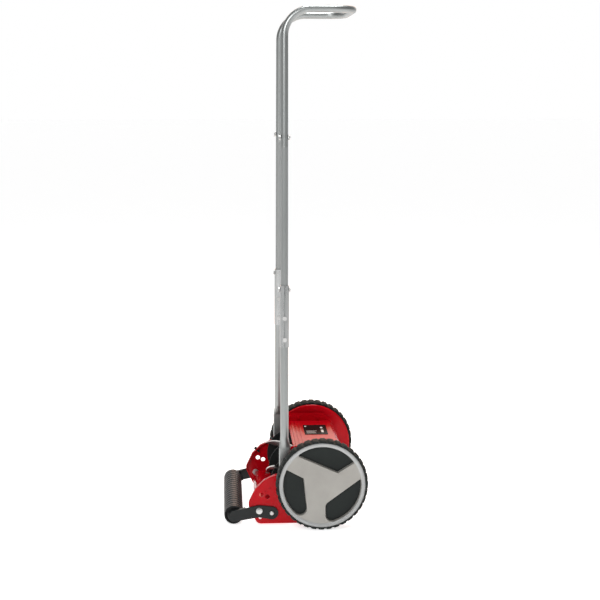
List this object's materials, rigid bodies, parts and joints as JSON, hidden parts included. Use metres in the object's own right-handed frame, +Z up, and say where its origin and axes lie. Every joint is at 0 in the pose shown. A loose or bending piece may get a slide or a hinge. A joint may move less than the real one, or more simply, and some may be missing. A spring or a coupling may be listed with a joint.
{
  "type": "push reel mower",
  "caption": "Push reel mower with geared side wheels, five-blade reel, bed knife, rear roller and a folding tubular handle parked upright.",
  "frame": {"origin": "on the ground under the middle of the machine's bounding box", "axes": "+X is the mowing direction, +Y the operator's left, +Z up"},
  "size_m": [0.336, 0.444, 1.206],
  "materials": {
    "red_paint": "gloss",
    "zinc": "bright zinc",
    "silver_tube": "satin silver",
    "sleeve_steel": "satin",
    "black_paint": "satin",
    "knife_steel": "ground",
    "axle_steel": "turned",
    "bearing_steel": "polished",
    "gear_steel": "sintered",
    "cast_black": "painted",
    "gear_plastic": "moulded",
    "rim_plastic": "moulded",
    "cover_plastic": "satin silver grey",
    "black_plastic": "moulded",
    "roller_plastic": "moulded",
    "tyre_rubber": "matte",
    "bush_bronze": "sintered",
    "label": "printed film"
  },
  "bodies": {
    "chassis": {"side_plate_right": "red_paint", "side_plate_left": "red_paint", "gear_cover_right": "red_paint", "gear_cover_left": "red_paint", "wheel_axle_right": "axle_steel", "wheel_axle_left": "axle_steel", "axle_clips": "axle_steel", "cover_posts": "zinc", "gear_cover_screws": "zinc", "top_cover": "red_paint", "top_cover_screws": "red_paint", "info_label": "label", "bed_bar": "red_paint", "bed_bar_bolts": "zinc", "bed_knife": "knife_steel", "bed_knife_screws": "zinc", "bearing_housings": "cast_black", "reel_bearings": "bearing_steel", "handle_pivot_bolts": "zinc", "parking_stops": "zinc", "arm_pivot_bolts": "zinc", "edge_screw": "black_plastic"},
    "handle": {"lower_tube_right": "silver_tube", "lower_tube_left": "silver_tube", "sleeve_right": "sleeve_steel", "sleeve_left": "sleeve_steel", "middle_tube_right": "silver_tube", "middle_tube_left": "silver_tube", "upper_handle": "silver_tube", "sleeve_screws": "zinc", "joint_bolts": "zinc"},
    "roller_arms": {"roller_arm_right": "black_paint", "roller_arm_left": "black_paint", "roller_axle": "axle_steel", "arm_lock_bolts": "zinc"},
    "roller": {"roller_shell": "roller_plastic", "roller_cap_right": "black_plastic", "roller_cap_left": "black_plastic"},
    "reel": {"reel_shaft": "axle_steel", "drive_pawls": "bearing_steel", "reel_blade_1": "black_paint", "reel_blade_2": "black_paint", "reel_blade_3": "black_paint", "reel_blade_4": "black_paint", "reel_blade_5": "black_paint", "reel_spider_1": "black_paint", "reel_spider_2": "black_paint", "reel_spider_3": "black_paint"},
    "pinion_right": {"pinion_right": "gear_steel"},
    "pinion_left": {"pinion_left": "gear_steel"},
    "wheel_right": {"tyre_right": "tyre_rubber", "wheel_rim_right": "rim_plastic", "wheel_cover_right": "cover_plastic", "ring_gear_right": "gear_plastic", "wheel_bush_right": "bush_bronze"},
    "wheel_left": {"tyre_left": "tyre_rubber", "wheel_rim_left": "rim_plastic", "wheel_cover_left": "cover_plastic", "ring_gear_left": "gear_plastic", "wheel_bush_left": "bush_bronze"}
  },
  "joints": [
    {"name": "handle_fold", "type": "hinge", "parent": "chassis", "child": "handle", "pos_m": [-0.025, 0, 0.104], "axis": [0, -1, 0], "range_deg": [0, 94]},
    {"name": "height_adjust", "type": "hinge", "parent": "chassis", "child": "roller_arms", "pos_m": [-0.056, 0, 0.0294], "axis": [0, -1, 0], "range_deg": [0, 36]},
    {"name": "roller_spin", "type": "hinge", "parent": "roller_arms", "child": "roller", "pos_m": [-0.1455, 0, 0.0225], "axis": [0, 1, 0], "continuous": true},
    {"name": "wheel_right_spin", "type": "hinge", "parent": "chassis", "child": "wheel_right", "pos_m": [0.06, -0.204, 0.108], "axis": [0, 1, 0], "continuous": true},
    {"name": "wheel_left_spin", "type": "hinge", "parent": "chassis", "child": "wheel_left", "pos_m": [0.06, 0.204, 0.108], "axis": [0, 1, 0], "continuous": true},
    {"name": "pinion_right_spin", "type": "hinge", "parent": "chassis", "child": "pinion_right", "pos_m": [0.0055, -0.196, 0.09512], "axis": [0, 1, 0], "continuous": true},
    {"name": "pinion_left_spin", "type": "hinge", "parent": "chassis", "child": "pinion_left", "pos_m": [0.0055, 0.196, 0.09512], "axis": [0, 1, 0], "continuous": true},
    {"name": "reel_spin", "type": "hinge", "parent": "chassis", "child": "reel", "pos_m": [0.0055, 0, 0.09512], "axis": [0, 1, 0], "continuous": true}
  ],
  "couplings": [
    {"joint": "pinion_right_spin", "follows": "wheel_right_spin", "ratio": 5},
    {"joint": "pinion_left_spin", "follows": "wheel_left_spin", "ratio": 5},
    {"joint": "reel_spin", "follows": "wheel_right_spin", "ratio": 5}
  ]
}
